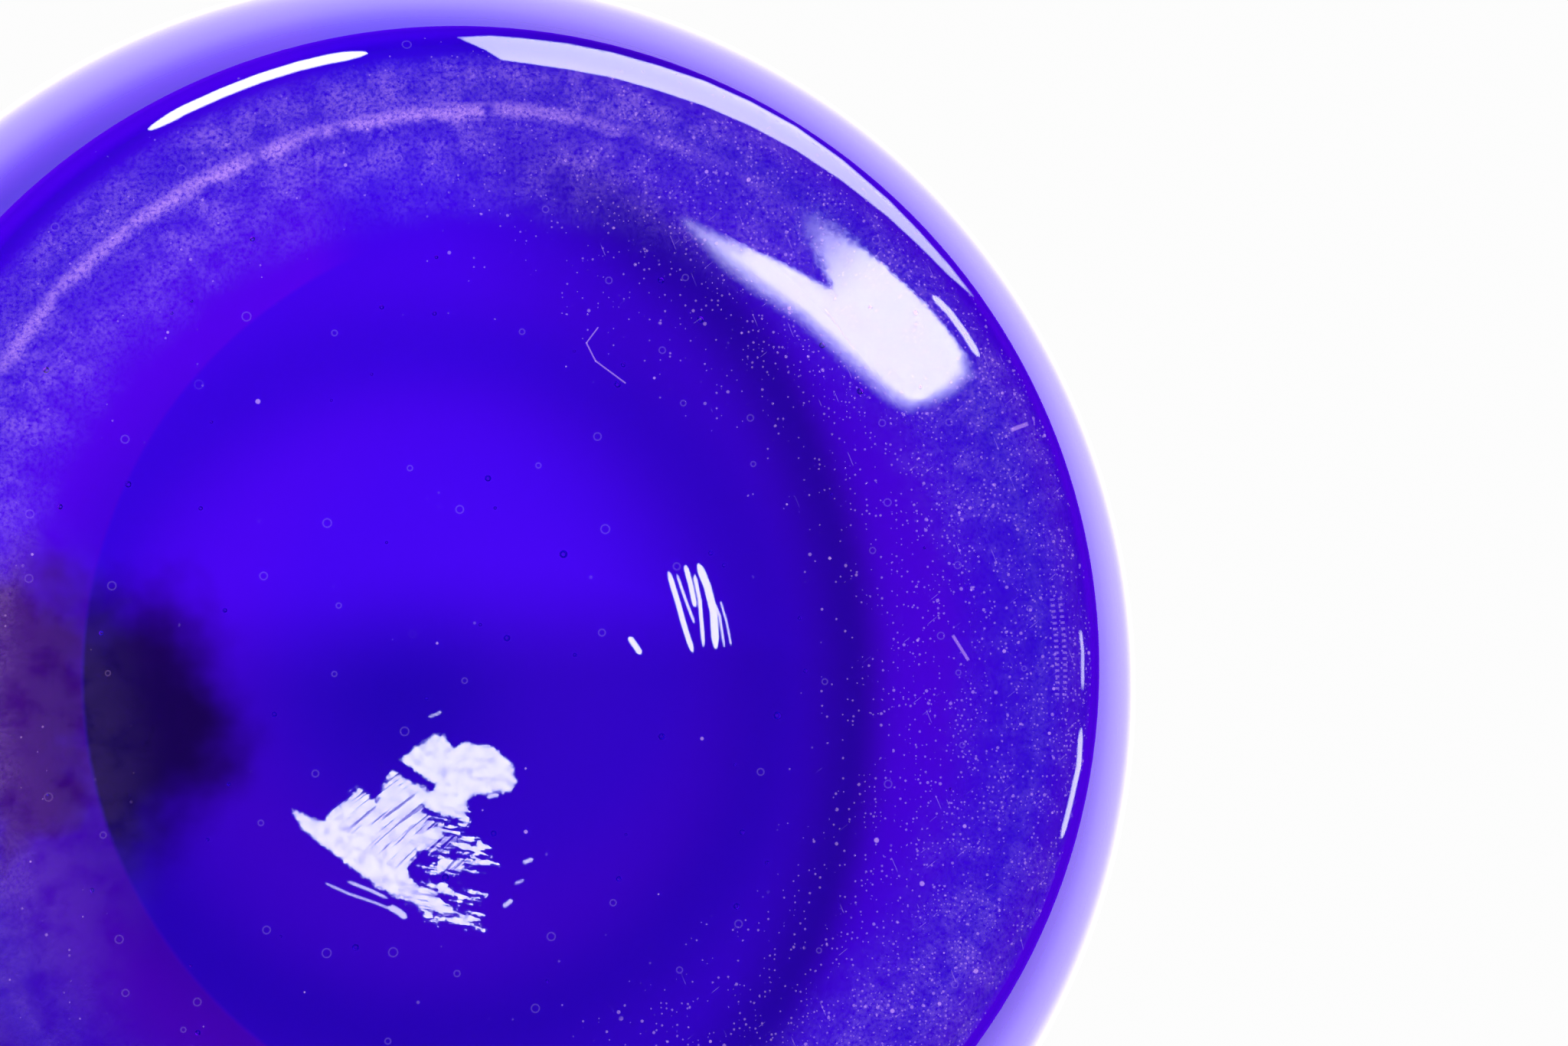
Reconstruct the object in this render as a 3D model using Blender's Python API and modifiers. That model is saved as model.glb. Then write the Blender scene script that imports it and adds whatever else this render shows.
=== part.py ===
# A lidded jar of thick blown glass: a round-bellied jar on a heavy foot, a domed lid whose collar drops
# into the mouth, and a solid ball knob. It stands on z = 0 with its axis on Z. Lengths are in metres.

import math

import bpy
import bmesh

# Jar: the foot and the underside
FOOT_RADIUS = 0.0500        # widest point of the heel
FOOT_HEIGHT = 0.0066        # height of that point
HEEL_ROUNDING = 0.0060      # how far the resting ring lies inside it
REST_WIDTH = 0.0020         # the flat ring that the jar stands on
KICK_HEIGHT = 0.0010        # the shallow hollow polished inside that ring
BASE_GLASS = 0.0115         # from the resting plane to the inner floor

# Jar: the outside, from the foot up
WAIST_DEPTH = 0.0018
WAIST_RISE = 0.0062
BELLY_RADIUS = 0.0630
BELLY_RISE = 0.0440
SHOULDER_RISE = 0.0350
NECK_RISE = 0.0130
RIM_FLARE = 0.0024

# Jar: the mouth and the walls
MOUTH_RADIUS = 0.0468
MOUTH_DEPTH = 0.0110        # the straight part of the mouth, which takes the lid's collar
NECK_WALL = 0.0034
BELLY_WALL = 0.0030

# Lid
SEAT_GAP = 0.0003
LID_OVERHANG = 0.0024
LID_EDGE = 0.0048
LID_RISE = 0.0150           # from the brim's top to the crown
LID_WALL = 0.0034
COLLAR_DROP = 0.0090
COLLAR_WALL = 0.0034
COLLAR_PLAY = 0.0008        # all round, between the collar and the mouth

# Knob
KNOB_GAP = 0.0003
KNOB_RADIUS = 0.0135
KNOB_NECK_RADIUS = 0.0060
KNOB_NECK_RISE = 0.0040
KNOB_FOOT_RADIUS = 0.0085
PAD_MARGIN = 0.0010         # the flat pad on the crown, beyond the knob's foot

# How long the handles of each curve are, as a share of the rise or reach that it spans
WAIST_LOW_SHARE = 0.45
BELLY_LOW_SHARE = 0.66
WAIST_TOP_SHARE = 0.24
BELLY_TOP_SHARE = 0.58
NECK_LOW_SHARE = 0.34
NECK_TOP_SHARE = 0.50
INNER_BELLY_SHARE = 0.50
FLOOR_REACH_SHARE = 1.00
KICK_EDGE_SHARE = 0.80
KICK_MIDDLE_SHARE = 0.45
CROWN_REACH_SHARE = 0.70
BRIM_REACH_SHARE = 0.28
HOLLOW_REACH_SHARE = 0.66
HOLLOW_RISE_SHARE = 0.45
BALL_LIFT_SHARE = 0.93
FOOT_REACH_SHARE = 0.45
FOOT_RISE_SHARE = 0.55
BALL_HANDLE_SHARE = 0.12

BALL_ENDS_AT = -56          # degrees below the ball's middle, where it turns into the neck
JAR_SEGMENTS = 56
LID_SEGMENTS = 56
KNOB_SEGMENTS = 40
MERGE_DISTANCE = 0.000001
GLASS_COLOUR = (0.045, 0.004, 0.62, 1.0)
GLASS_IOR = 1.52

# What follows from those sizes
waist_radius = FOOT_RADIUS - WAIST_DEPTH
waist_height = FOOT_HEIGHT + WAIST_RISE
belly_height = waist_height + BELLY_RISE
neck_height = belly_height + SHOULDER_RISE
neck_radius = MOUTH_RADIUS + NECK_WALL
rim_height = neck_height + NECK_RISE
rim_radius = neck_radius + RIM_FLARE
lip_rounding = (rim_radius - MOUTH_RADIUS) / 2
lid_radius = rim_radius + LID_OVERHANG
brim_top = SEAT_GAP + LID_EDGE
crown = brim_top + LID_RISE


def clear_scene():
    for old in list(bpy.data.objects):
        bpy.data.objects.remove(old, do_unlink=True)


def glass(name):
    """One clear blue glass, made anew for each piece."""
    material = bpy.data.materials.new(name)
    material.use_nodes = True
    shader = material.node_tree.nodes["Principled BSDF"]
    shader.inputs["Base Color"].default_value = GLASS_COLOUR
    shader.inputs["Metallic"].default_value = 0.0
    shader.inputs["Roughness"].default_value = 0.03
    shader.inputs["IOR"].default_value = GLASS_IOR
    shader.inputs["Transmission Weight"].default_value = 1.0
    material.diffuse_color = GLASS_COLOUR
    return material


def arc(centre, radii, start, end, steps):
    """Points on an ellipse round centre, from one angle to another, in degrees."""
    points = []
    for step in range(steps + 1):
        angle = math.radians(start + (end - start) * step / steps)
        points.append((centre[0] + radii[0] * math.cos(angle), centre[1] + radii[1] * math.sin(angle)))
    return points


def bezier(start, handle, other_handle, end, steps):
    """Points on a cubic curve that leaves start towards handle and reaches end from other_handle."""
    points = []
    for step in range(steps + 1):
        t = step / steps
        weights = ((1 - t) ** 3, 3 * (1 - t) ** 2 * t, 3 * (1 - t) * t**2, t**3)
        corners = (start, handle, other_handle, end)
        points.append(tuple(sum(w * corner[i] for w, corner in zip(weights, corners)) for i in (0, 1)))
    return points


def flowing_wall(start, end, start_share, end_share, steps):
    """A curve between two points where the wall is upright, such as a belly and a waist."""
    rise = end[1] - start[1]
    handle = (start[0], start[1] + rise * start_share)
    other_handle = (end[0], end[1] - rise * end_share)
    return bezier(start, handle, other_handle, end, steps)


def joined(*runs):
    """The runs as one outline, with the point that two runs share kept once."""
    outline = [runs[0][0]]
    for run in runs:
        outline += run[1:] if run[0] == outline[-1] else run
    return outline


def jar_outline():
    """From the middle of the inner floor, up the inside, over the lip and down the outside."""
    inner_belly = (BELLY_RADIUS - BELLY_WALL, belly_height)
    inner_neck = (MOUTH_RADIUS, rim_height - lip_rounding - MOUTH_DEPTH)
    floor_rise = belly_height - BASE_GLASS
    floor_to_belly = bezier(
        (0.0, BASE_GLASS),
        (waist_radius * FLOOR_REACH_SHARE, BASE_GLASS),
        (inner_belly[0], belly_height - floor_rise * INNER_BELLY_SHARE),
        inner_belly,
        steps=12,
    )
    inside = flowing_wall(inner_belly, inner_neck, BELLY_TOP_SHARE, NECK_LOW_SHARE, steps=7)
    lip_middle = (MOUTH_RADIUS + lip_rounding, rim_height - lip_rounding)
    lip = arc(lip_middle, (lip_rounding, lip_rounding), 180, 0, steps=6)
    lip_side = (rim_radius, rim_height - lip_rounding)
    neck = (neck_radius, neck_height)
    widest = (BELLY_RADIUS, belly_height)
    waist = (waist_radius, waist_height)
    flare = flowing_wall(lip_side, neck, NECK_TOP_SHARE, NECK_TOP_SHARE, steps=4)
    shoulder = flowing_wall(neck, widest, NECK_LOW_SHARE, BELLY_TOP_SHARE, steps=7)
    belly = flowing_wall(widest, waist, BELLY_LOW_SHARE, WAIST_TOP_SHARE, steps=9)
    foot = flowing_wall(waist, (FOOT_RADIUS, FOOT_HEIGHT), WAIST_LOW_SHARE, WAIST_LOW_SHARE, steps=3)

    rest_radius = FOOT_RADIUS - HEEL_ROUNDING
    heel = arc((rest_radius, FOOT_HEIGHT), (HEEL_ROUNDING, FOOT_HEIGHT), 0, -90, steps=5)
    heel[-1] = (rest_radius, 0.0)   # exactly on the resting plane
    kick_radius = rest_radius - REST_WIDTH
    underside = bezier(
        (kick_radius, 0.0),
        (kick_radius * KICK_EDGE_SHARE, KICK_HEIGHT),
        (kick_radius * KICK_MIDDLE_SHARE, KICK_HEIGHT),
        (0.0, KICK_HEIGHT),
        steps=4,
    )
    return joined(floor_to_belly, inside, lip, flare, shoulder, belly, foot, heel, underside)


def lid_outline():
    """From the crown, over the dome to the brim, then under it, round the collar and up the hollow."""
    pad_radius = KNOB_FOOT_RADIUS + PAD_MARGIN
    half_edge = LID_EDGE / 2
    brim_radius = lid_radius - half_edge
    reach = brim_radius - pad_radius
    dome = bezier(
        (pad_radius, crown),
        (pad_radius + reach * CROWN_REACH_SHARE, crown),
        (brim_radius - reach * BRIM_REACH_SHARE, brim_top),
        (brim_radius, brim_top),
        steps=8,
    )
    edge = arc((brim_radius, SEAT_GAP + half_edge), (half_edge, half_edge), 90, -90, steps=6)
    edge[0] = dome[-1]
    collar_radius = MOUTH_RADIUS - COLLAR_PLAY
    half_collar = COLLAR_WALL / 2
    collar_middle = (collar_radius - half_collar, half_collar - COLLAR_DROP)
    collar_end = arc(collar_middle, (half_collar, half_collar), 0, -180, steps=4)
    hollow_radius = collar_radius - COLLAR_WALL
    ceiling = crown - LID_WALL
    hollow = bezier(
        (hollow_radius, SEAT_GAP),
        (hollow_radius, SEAT_GAP + (ceiling - SEAT_GAP) * HOLLOW_RISE_SHARE),
        (hollow_radius * HOLLOW_REACH_SHARE, ceiling),
        (0.0, ceiling),
        steps=8,
    )
    return joined([(0.0, crown)], dome, edge, [(collar_radius, SEAT_GAP)], collar_end, hollow)


def knob_outline():
    """From the top of the ball down to the foot, which is flat."""
    centre = KNOB_NECK_RISE + KNOB_RADIUS * BALL_LIFT_SHARE
    ball = arc((0.0, centre), (KNOB_RADIUS, KNOB_RADIUS), 90, BALL_ENDS_AT, steps=12)
    ball[0] = (0.0, centre + KNOB_RADIUS)   # exactly on the axis
    ball_end = ball[-1]
    leaves_at = math.radians(BALL_ENDS_AT)
    handle = KNOB_RADIUS * BALL_HANDLE_SHARE
    throat = (KNOB_NECK_RADIUS, KNOB_NECK_RISE)
    under_ball = bezier(
        ball_end,
        (ball_end[0] + handle * math.sin(leaves_at), ball_end[1] - handle * math.cos(leaves_at)),
        (throat[0], throat[1] + handle),
        throat,
        steps=3,
    )
    foot = bezier(
        throat,
        (throat[0], KNOB_NECK_RISE * (1 - FOOT_RISE_SHARE)),
        (KNOB_FOOT_RADIUS - (KNOB_FOOT_RADIUS - throat[0]) * FOOT_REACH_SHARE, KNOB_GAP),
        (KNOB_FOOT_RADIUS, KNOB_GAP),
        steps=4,
    )
    return joined(ball, under_ball, foot, [(0.0, KNOB_GAP)])


def turned(name, outline, segments, collection):
    """A solid of revolution: the outline turned round Z by a Screw modifier."""
    mesh = bpy.data.meshes.new(name)
    profile = bmesh.new()
    points = [profile.verts.new((radius, 0.0, height)) for radius, height in outline]
    for here, there in zip(points, points[1:]):
        profile.edges.new((here, there))
    profile.to_mesh(mesh)
    profile.free()
    piece = bpy.data.objects.new(name, mesh)
    collection.objects.link(piece)
    screw = piece.modifiers.new("turned", "SCREW")
    screw.axis = "Z"
    screw.angle = math.tau
    screw.steps = segments
    screw.render_steps = segments
    screw.use_merge_vertices = True
    screw.merge_threshold = MERGE_DISTANCE
    screw.use_smooth_shade = True
    mesh.materials.append(glass(name + "_glass"))
    return piece


def build():
    clear_scene()
    collection = bpy.data.collections.new("lidded_jar")
    bpy.context.scene.collection.children.link(collection)
    turned("jar_body", jar_outline(), JAR_SEGMENTS, collection)

    lift_axis = bpy.data.objects.new("lid_lift_axis", None)
    lift_axis.location = (0.0, 0.0, rim_height)
    collection.objects.link(lift_axis)
    lid = turned("lid", lid_outline(), LID_SEGMENTS, collection)
    lid.parent = lift_axis
    knob = turned("lid_knob", knob_outline(), KNOB_SEGMENTS, collection)
    knob.parent = lid
    knob.location = (0.0, 0.0, crown)


build()
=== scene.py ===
# A round-bellied lidded jar of deep blue blown glass, seen from under its worn, polished foot.
import math

import bmesh
import bpy
from mathutils import Matrix, Vector, noise
from mathutils.bvhtree import BVHTree


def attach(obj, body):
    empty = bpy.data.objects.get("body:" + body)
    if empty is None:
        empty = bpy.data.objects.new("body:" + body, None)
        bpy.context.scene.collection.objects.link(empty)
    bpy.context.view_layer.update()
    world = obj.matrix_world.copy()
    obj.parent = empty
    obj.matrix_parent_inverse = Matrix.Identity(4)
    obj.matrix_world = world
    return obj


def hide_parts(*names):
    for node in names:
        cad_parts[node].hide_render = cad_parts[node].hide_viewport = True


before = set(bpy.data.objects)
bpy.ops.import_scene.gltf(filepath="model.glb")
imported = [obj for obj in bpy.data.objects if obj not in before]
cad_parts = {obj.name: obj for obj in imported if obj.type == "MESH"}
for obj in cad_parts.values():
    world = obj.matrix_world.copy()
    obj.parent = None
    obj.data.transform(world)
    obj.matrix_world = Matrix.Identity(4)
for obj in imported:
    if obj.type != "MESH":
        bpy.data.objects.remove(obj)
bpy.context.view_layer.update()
scene = bpy.context.scene
print("frame loaded:", sorted(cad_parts))


def linked(name, data):
    thing = bpy.data.objects.new(name, data)
    scene.collection.objects.link(thing)
    return thing


# outlines are (radius, height) points, in metres, of walls that are turned round Z
def arcPoints(centre, radii, fromDegrees, toDegrees, steps):
    points = []
    for step in range(steps + 1):
        angle = math.radians(fromDegrees + (toDegrees - fromDegrees) * step / steps)
        points.append((centre[0] + radii[0] * math.cos(angle), centre[1] + radii[1] * math.sin(angle)))
    return points


def curvePoints(start, handle, otherHandle, end, steps):
    points = []
    for step in range(steps + 1):
        t = step / steps
        weights = ((1 - t) ** 3, 3 * (1 - t) ** 2 * t, 3 * (1 - t) * t**2, t**3)
        corners = (start, handle, otherHandle, end)
        points.append(tuple(sum(w * corner[i] for w, corner in zip(weights, corners)) for i in (0, 1)))
    return points


def wallPoints(start, end, startShare, endShare, steps):
    rise = end[1] - start[1]
    handles = (start[0], start[1] + rise * startShare), (end[0], end[1] - rise * endShare)
    return curvePoints(start, *handles, end, steps)


# each run says how far the hand-made wall wavers at its two ends, and whether it is an inner wall
def joinRuns(*runs):
    outline = []
    for points, waverStart, waverEnd, inner in runs:
        for step, (radius, height) in enumerate(points):
            if step == 0 and outline and math.dist(outline[-1][:2], (radius, height)) < 1e-7:
                continue
            share = step / max(1, len(points) - 1)
            share = share * share * (3 - 2 * share)
            outline.append((radius, height, waverStart + (waverEnd - waverStart) * share, inner))
    return outline


jar = {
    "foot": 0.0500, "footHeight": 0.0066, "heel": 0.0060, "restWidth": 0.0020, "kick": 0.0010,
    "baseGlass": 0.0115, "waistDepth": 0.0018, "waistRise": 0.0062, "belly": 0.0630, "bellyRise": 0.0440,
    "shoulderRise": 0.0350, "neckRise": 0.0130, "rimFlare": 0.0024, "mouth": 0.0468, "mouthDepth": 0.0110,
    "neckWall": 0.0034, "bellyWall": 0.0030,
    "wallWaver": 0.00022, "floorWaver": 0.00030, "lipWaver": 0.00004, "around": 192,
}
waist = (jar["foot"] - jar["waistDepth"], jar["footHeight"] + jar["waistRise"])
belly = (jar["belly"], waist[1] + jar["bellyRise"])
neck = (jar["mouth"] + jar["neckWall"], belly[1] + jar["shoulderRise"])
rimHeight = neck[1] + jar["neckRise"]
rimRadius = neck[0] + jar["rimFlare"]
lipRounding = (rimRadius - jar["mouth"]) / 2
footRise = wallPoints(waist, (jar["foot"], jar["footHeight"]), 0.45, 0.45, 12)


def undersideRuns():
    restRadius = jar["foot"] - jar["heel"]
    kickRadius = restRadius - jar["restWidth"]
    heelCurve = arcPoints((restRadius, jar["footHeight"]), (jar["heel"], jar["footHeight"]), 0, -90, 30)
    heelCurve[-1] = (restRadius, 0.0)
    restRing = [(restRadius, 0.0), (restRadius - 0.0002, 0.0), (kickRadius + 0.0002, 0.0)]
    hollow = curvePoints((kickRadius, 0.0), (kickRadius * 0.80, jar["kick"]),
                         (kickRadius * 0.45, jar["kick"]), (0.0, jar["kick"]), 28)
    return (heelCurve, 0, 0, 0), (restRing, 0, 0, 0), (hollow, 0, 0, 0)


def jarOutline():
    wall, floor, lip = jar["wallWaver"], jar["floorWaver"], jar["lipWaver"]
    innerBelly = (belly[0] - jar["bellyWall"], belly[1])
    innerNeck = (jar["mouth"], rimHeight - lipRounding - jar["mouthDepth"])
    floorHandle = (innerBelly[0], belly[1] - (belly[1] - jar["baseGlass"]) * 0.50)
    floorCurve = curvePoints((0.0, jar["baseGlass"]), (waist[0], jar["baseGlass"]),
                             floorHandle, innerBelly, 48)
    inside = wallPoints(innerBelly, innerNeck, 0.58, 0.34, 28)
    lipCentre = (jar["mouth"] + lipRounding, rimHeight - lipRounding)
    lipCurve = arcPoints(lipCentre, (lipRounding, lipRounding), 180, 0, 18)
    flare = wallPoints((rimRadius, rimHeight - lipRounding), neck, 0.50, 0.50, 14)
    shoulder = wallPoints(neck, belly, 0.34, 0.58, 28)
    bellyCurve = wallPoints(belly, waist, 0.66, 0.24, 32)
    return joinRuns((floorCurve, floor, wall, 1), (inside, wall, lip, 1), (lipCurve, lip, lip, 0),
                    (flare, lip, lip, 0), (shoulder, lip, wall, 0), (bellyCurve, wall, wall / 2, 0),
                    (footRise, wall / 2, 0, 0), *undersideRuns())


lid = {
    "seatGap": 0.0003, "overhang": 0.0024, "edge": 0.0048, "rise": 0.0150, "wall": 0.0034,
    "collarDrop": 0.0090, "collarWall": 0.0034, "collarPlay": 0.0008, "collarRoot": 0.0006, "knob": 0.0135,
    "knobNeck": 0.0060, "knobNeckRise": 0.0040, "knobFoot": 0.0085, "knobLeaves": -56, "pad": 0.0010,
    "waver": 0.00012, "around": 192,
}
seat = rimHeight + lid["seatGap"]
brimTop = seat + lid["edge"]
crown = brimTop + lid["rise"]


# the knob is fused to the crown, so one outline runs from its top over the dome and up the hollow
def lidOutline():
    centre = crown + lid["knobNeckRise"] + lid["knob"] * 0.93
    ball = arcPoints((0.0, centre), (lid["knob"],) * 2, 90, lid["knobLeaves"], 44)
    ball[0] = (0.0, centre + lid["knob"])
    leaves, handle = math.radians(lid["knobLeaves"]), lid["knob"] * 0.12
    ballHandle = (ball[-1][0] + handle * math.sin(leaves), ball[-1][1] - handle * math.cos(leaves))
    throat = (lid["knobNeck"], crown + lid["knobNeckRise"])
    underBall = curvePoints(ball[-1], ballHandle, (throat[0], throat[1] + handle), throat, 10)
    spread = lid["knobFoot"] - throat[0]
    foot = curvePoints(throat, (throat[0], crown + lid["knobNeckRise"] * 0.45),
                       (lid["knobFoot"] - spread * 0.45, crown), (lid["knobFoot"], crown), 14)
    pad = lid["knobFoot"] + lid["pad"]
    half = lid["edge"] / 2
    brim = rimRadius + lid["overhang"] - half
    dome = curvePoints((pad, crown), (pad + (brim - pad) * 0.70, crown),
                       (brim - (brim - pad) * 0.28, brimTop), (brim, brimTop), 32)
    edge = arcPoints((brim, brimTop - half), (half, half), 90, -90, 20)
    collar, thin, root = jar["mouth"] - lid["collarPlay"], lid["collarWall"] / 2, lid["collarRoot"]
    corner = arcPoints((collar + root, seat - root), (root, root), 90, 180, 5)
    collarEnd = arcPoints((collar - thin, rimHeight + thin - lid["collarDrop"]), (thin, thin), 0, -180, 14)
    hollowRadius, ceiling = collar - lid["collarWall"], crown - lid["wall"]
    hollow = curvePoints((hollowRadius, seat), (hollowRadius, seat + (ceiling - seat) * 0.45),
                         (hollowRadius * 0.66, ceiling), (0.0, ceiling), 36)
    waver = lid["waver"]
    return joinRuns((ball, 0, 0, 0), (underBall, 0, 0, 0), (foot, 0, 0, 0), (dome, 0, waver, 0),
                    (edge, waver / 2, waver / 2, 0), (corner, 0, 0, 0), (collarEnd, 0, 0, 1),
                    (hollow, 0, waver, 1))


# unit normals of an outline in its own plane, pointing to the left of its direction
def outlineNormals(outline):
    normals = []
    last = len(outline) - 1
    for i in range(len(outline)):
        before, after = outline[max(0, i - 1)], outline[min(last, i + 1)]
        along = (after[0] - before[0], after[1] - before[1])
        length = math.hypot(*along) or 1.0
        normals.append((-along[1] / length, along[0] / length))
    return normals


# how a hand-made wall strays from its true turning: broad swells and faint turning rings
def waverAt(x, y, z, inner):
    swell = noise.noise(Vector((x * 26 + 3.1 * inner, y * 26, z * 30 + 7 * inner)))
    rings = noise.noise(Vector((x * 9, y * 9, z * 210 + 19 * inner)))
    return swell * 1.2 + rings * 0.35


def turnedMesh(name, outline, around):
    points, sides, rings = [], [], []
    for (radius, height, waver, inner), (normalR, normalZ) in zip(outline, outlineNormals(outline)):
        ring = []
        for step in range(1 if radius < 1e-9 else around):
            angle = math.tau * step / around
            cosine, sine = math.cos(angle), math.sin(angle)
            stray = waver * waverAt(radius * cosine, radius * sine, height, inner) if waver else 0.0
            reach = radius + stray * normalR if radius > 1e-9 else 0.0
            ring.append(len(points))
            points.append((reach * cosine, reach * sine, height + stray * normalZ))
            sides.append(float(inner))
        rings.append(ring)
    faces = []
    for above, below in zip(rings, rings[1:]):
        for step in range(around):
            after = (step + 1) % around
            if len(above) == 1:
                faces.append((above[0], below[step], below[after]))
            elif len(below) == 1:
                faces.append((above[step], below[0], above[after]))
            else:
                faces.append((above[step], below[step], below[after], above[after]))
    mesh = bpy.data.meshes.new(name)
    mesh.from_pydata(points, [], faces)
    return mesh, sides


# seed bubbles: tiny sealed hollows in the glass, strewn about a sheet that lies inside the wall
seedMeasures = ("Bubbles per square metre", "Smallest radius", "Largest radius", "Depth either way")


def seedTree(material):
    tree = bpy.data.node_groups.new("seedBubbles", "GeometryNodeTree")
    face = tree.interface
    face.new_socket("Geometry", in_out="OUTPUT", socket_type="NodeSocketGeometry")
    face.new_socket("Geometry", in_out="INPUT", socket_type="NodeSocketGeometry")
    for label in seedMeasures:
        face.new_socket(label, in_out="INPUT", socket_type="NodeSocketFloat")
    face.new_socket("Seed", in_out="INPUT", socket_type="NodeSocketInt")

    def put(kind, settings=None, values=None):
        node = tree.nodes.new(kind)
        for key, value in (settings or {}).items():
            setattr(node, key, value)
        for key, value in (values or {}).items():
            if isinstance(value, bpy.types.NodeSocket):
                tree.links.new(value, node.inputs[key])
            else:
                node.inputs[key].default_value = value
        return node

    given = tree.nodes.new("NodeGroupInput").outputs
    strewn = put("GeometryNodeDistributePointsOnFaces", {"distribute_method": "RANDOM"}, {
        "Mesh": given["Geometry"], "Density": given["Bubbles per square metre"], "Seed": given["Seed"]})
    lowest = put("ShaderNodeMath", {"operation": "MULTIPLY"}, {0: given["Depth either way"], 1: -1.0})
    depth = put("FunctionNodeRandomValue", {"data_type": "FLOAT"},
                {2: lowest.outputs[0], 3: given["Depth either way"], "Seed": given["Seed"]})
    push = put("ShaderNodeVectorMath", {"operation": "SCALE"},
               {0: strewn.outputs["Normal"], "Scale": depth.outputs[1]})
    moved = put("GeometryNodeSetPosition", None,
                {"Geometry": strewn.outputs["Points"], "Offset": push.outputs[0]})
    otherSeed = put("ShaderNodeMath", {"operation": "ADD"}, {0: given["Seed"], 1: 17})
    size = put("FunctionNodeRandomValue", {"data_type": "FLOAT"},
               {2: 0.0, 3: 1.0, "Seed": otherSeed.outputs[0]})
    mostlySmall = put("ShaderNodeMath", {"operation": "POWER"}, {0: size.outputs[1], 1: 2.2})
    radius = put("ShaderNodeMapRange", None, {
        "Value": mostlySmall.outputs[0],
        "To Min": given["Smallest radius"], "To Max": given["Largest radius"]})
    ball = put("GeometryNodeMeshIcoSphere", None, {"Radius": 1.0, "Subdivisions": 2})
    inward = put("GeometryNodeFlipFaces", None, {"Mesh": ball.outputs["Mesh"]})
    placed = put("GeometryNodeInstanceOnPoints", None,
                 {"Points": moved.outputs["Geometry"], "Instance": inward.outputs["Mesh"],
                  "Scale": radius.outputs["Result"]})
    real = put("GeometryNodeRealizeInstances", None, {"Geometry": placed.outputs["Instances"]})
    finished = put("GeometryNodeSetMaterial", None,
                   {"Geometry": real.outputs["Geometry"], "Material": material})
    put("NodeGroupOutput", None, {"Geometry": finished.outputs["Geometry"]})
    return tree


def seedMesh(tree, strewing):
    sheet, _ = turnedMesh("seedSheet", [(*point, 0, 0) for point in strewing["sheet"]], 64)
    carrier = linked("seedSheet", sheet)
    modifier = carrier.modifiers.new("seeds", "NODES")
    modifier.node_group = tree
    given = {item.name: item.identifier for item in tree.interface.items_tree if item.in_out == "INPUT"}
    for label in (*seedMeasures, "Seed"):
        modifier[given[label]] = strewing[label]
    graph = bpy.context.evaluated_depsgraph_get()
    seeds = bpy.data.meshes.new_from_object(carrier.evaluated_get(graph), depsgraph=graph)
    carrier.modifiers.remove(modifier)
    bpy.data.objects.remove(carrier)
    return seeds


# one closed glass body: the turned wall with its faces outward, and the bubbles with theirs inward
def glassPiece(name, outline, around, material, seedMeshes):
    wall, sides = turnedMesh(name, outline, around)
    whole = bmesh.new()
    whole.from_mesh(wall)
    if whole.calc_volume(signed=True) < 0:
        bmesh.ops.reverse_faces(whole, faces=whole.faces)
    for seeds in seedMeshes:
        whole.from_mesh(seeds)
    for face in whole.faces:
        face.smooth = True
        face.material_index = 0
    whole.to_mesh(wall)
    whole.free()
    side = wall.attributes.new("innerSide", "FLOAT", "POINT")
    side.data.foreach_set("value", sides + [0.0] * (len(wall.vertices) - len(sides)))
    wall.materials.clear()
    wall.materials.append(material)
    piece = linked(name, wall)
    print(name, "made:", len(wall.vertices), "points,", len(wall.polygons), "faces")
    return piece


# a wire carries a value from node to node; a bench makes the nodes of one material
class Wire:
    def __init__(self, bench, socket):
        self.bench, self.socket = bench, socket

    def maths(self, operation, *values):
        return self.bench.node("ShaderNodeMath", {"operation": operation}, dict(enumerate(values)))

    def __add__(self, other): return self.maths("ADD", self, other)
    def __radd__(self, other): return self.maths("ADD", other, self)
    def __sub__(self, other): return self.maths("SUBTRACT", self, other)
    def __rsub__(self, other): return self.maths("SUBTRACT", other, self)
    def __mul__(self, other): return self.maths("MULTIPLY", self, other)
    def __rmul__(self, other): return self.maths("MULTIPLY", other, self)
    def __truediv__(self, other): return self.maths("DIVIDE", self, other)
    def __rtruediv__(self, other): return self.maths("DIVIDE", other, self)
    def __pow__(self, other): return self.maths("POWER", self, other)
    def __abs__(self): return self.maths("ABSOLUTE", self)
    def least(self, other): return self.maths("MINIMUM", self, other)
    def most(self, other): return self.maths("MAXIMUM", self, other)

    # 0 below low, 1 above high, soft between; low may be the larger one
    def rise(self, low, high):
        flipped = low > high
        return self.bench.node("ShaderNodeMapRange", {"interpolation_type": "SMOOTHSTEP"}, {
            "Value": self, "From Min": min(low, high), "From Max": max(low, high),
            "To Min": 1.0 if flipped else 0.0, "To Max": 0.0 if flipped else 1.0}, "Result")


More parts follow.
